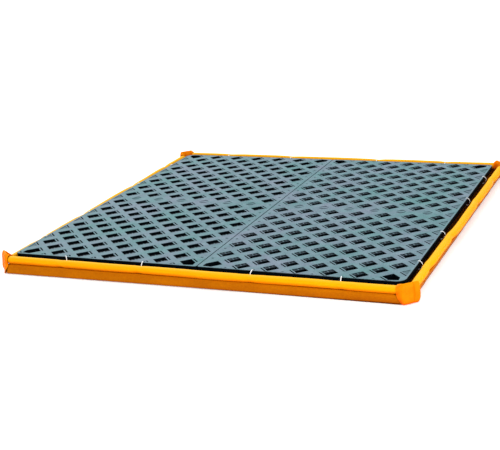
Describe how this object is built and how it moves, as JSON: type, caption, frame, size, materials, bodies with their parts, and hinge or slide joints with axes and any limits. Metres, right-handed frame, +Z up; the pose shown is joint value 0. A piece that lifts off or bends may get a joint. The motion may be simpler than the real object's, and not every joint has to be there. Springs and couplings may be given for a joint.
{
  "type": "spill containment pallet",
  "caption": "Low spill containment pallet: a foam-edged coated fabric basin holding two lift-out moulded grates with square holes, tied at the rim.",
  "frame": {"origin": "middle of the footprint, on the floor", "axes": "+X towards the right-hand grate, +Y towards the back along the seam between the grates, +Z up"},
  "size_m": [1.3014, 1.3074, 0.06],
  "materials": {
    "basin_fabric": "orange coated fabric, satin",
    "sleeve_fabric": "bright yellow coated fabric, satin",
    "boot_fabric": "orange coated fabric, folded",
    "foam": "closed cell foam",
    "grate": "slate grey moulded polyethylene, mottled",
    "tie": "natural white nylon"
  },
  "bodies": {
    "basin": {"sump_floor": "basin_fabric", "front_wall": "basin_fabric", "front_sleeve": "sleeve_fabric", "front_foam_log": "foam", "front_hem": "basin_fabric", "right_wall": "basin_fabric", "right_sleeve": "sleeve_fabric", "right_foam_log": "foam", "right_hem": "basin_fabric", "back_wall": "basin_fabric", "back_sleeve": "sleeve_fabric", "back_foam_log": "foam", "back_hem": "basin_fabric", "left_wall": "basin_fabric", "left_sleeve": "sleeve_fabric", "left_foam_log": "foam", "left_hem": "basin_fabric", "front_left_boot": "boot_fabric", "front_right_boot": "boot_fabric", "back_right_boot": "boot_fabric", "back_left_boot": "boot_fabric"},
    "left_grate": {"left_grate": "grate", "left_grate_feet": "grate", "front_tie_1": "tie", "front_tie_2": "tie", "back_tie_1": "tie", "back_tie_2": "tie", "left_tie_1": "tie", "left_tie_2": "tie", "left_tie_3": "tie", "left_tie_4": "tie"},
    "right_grate": {"right_grate": "grate", "right_grate_feet": "grate", "front_tie_3": "tie", "front_tie_4": "tie", "right_tie_1": "tie", "right_tie_2": "tie", "right_tie_3": "tie", "right_tie_4": "tie", "back_tie_3": "tie", "back_tie_4": "tie"}
  },
  "joints": [
    {"name": "left_grate_lift", "type": "slide", "parent": "basin", "child": "left_grate", "axis": [0, 0, 1], "range_m": [0, 0.15]},
    {"name": "right_grate_lift", "type": "slide", "parent": "basin", "child": "right_grate", "axis": [0, 0, 1], "range_m": [0, 0.15]}
  ]
}
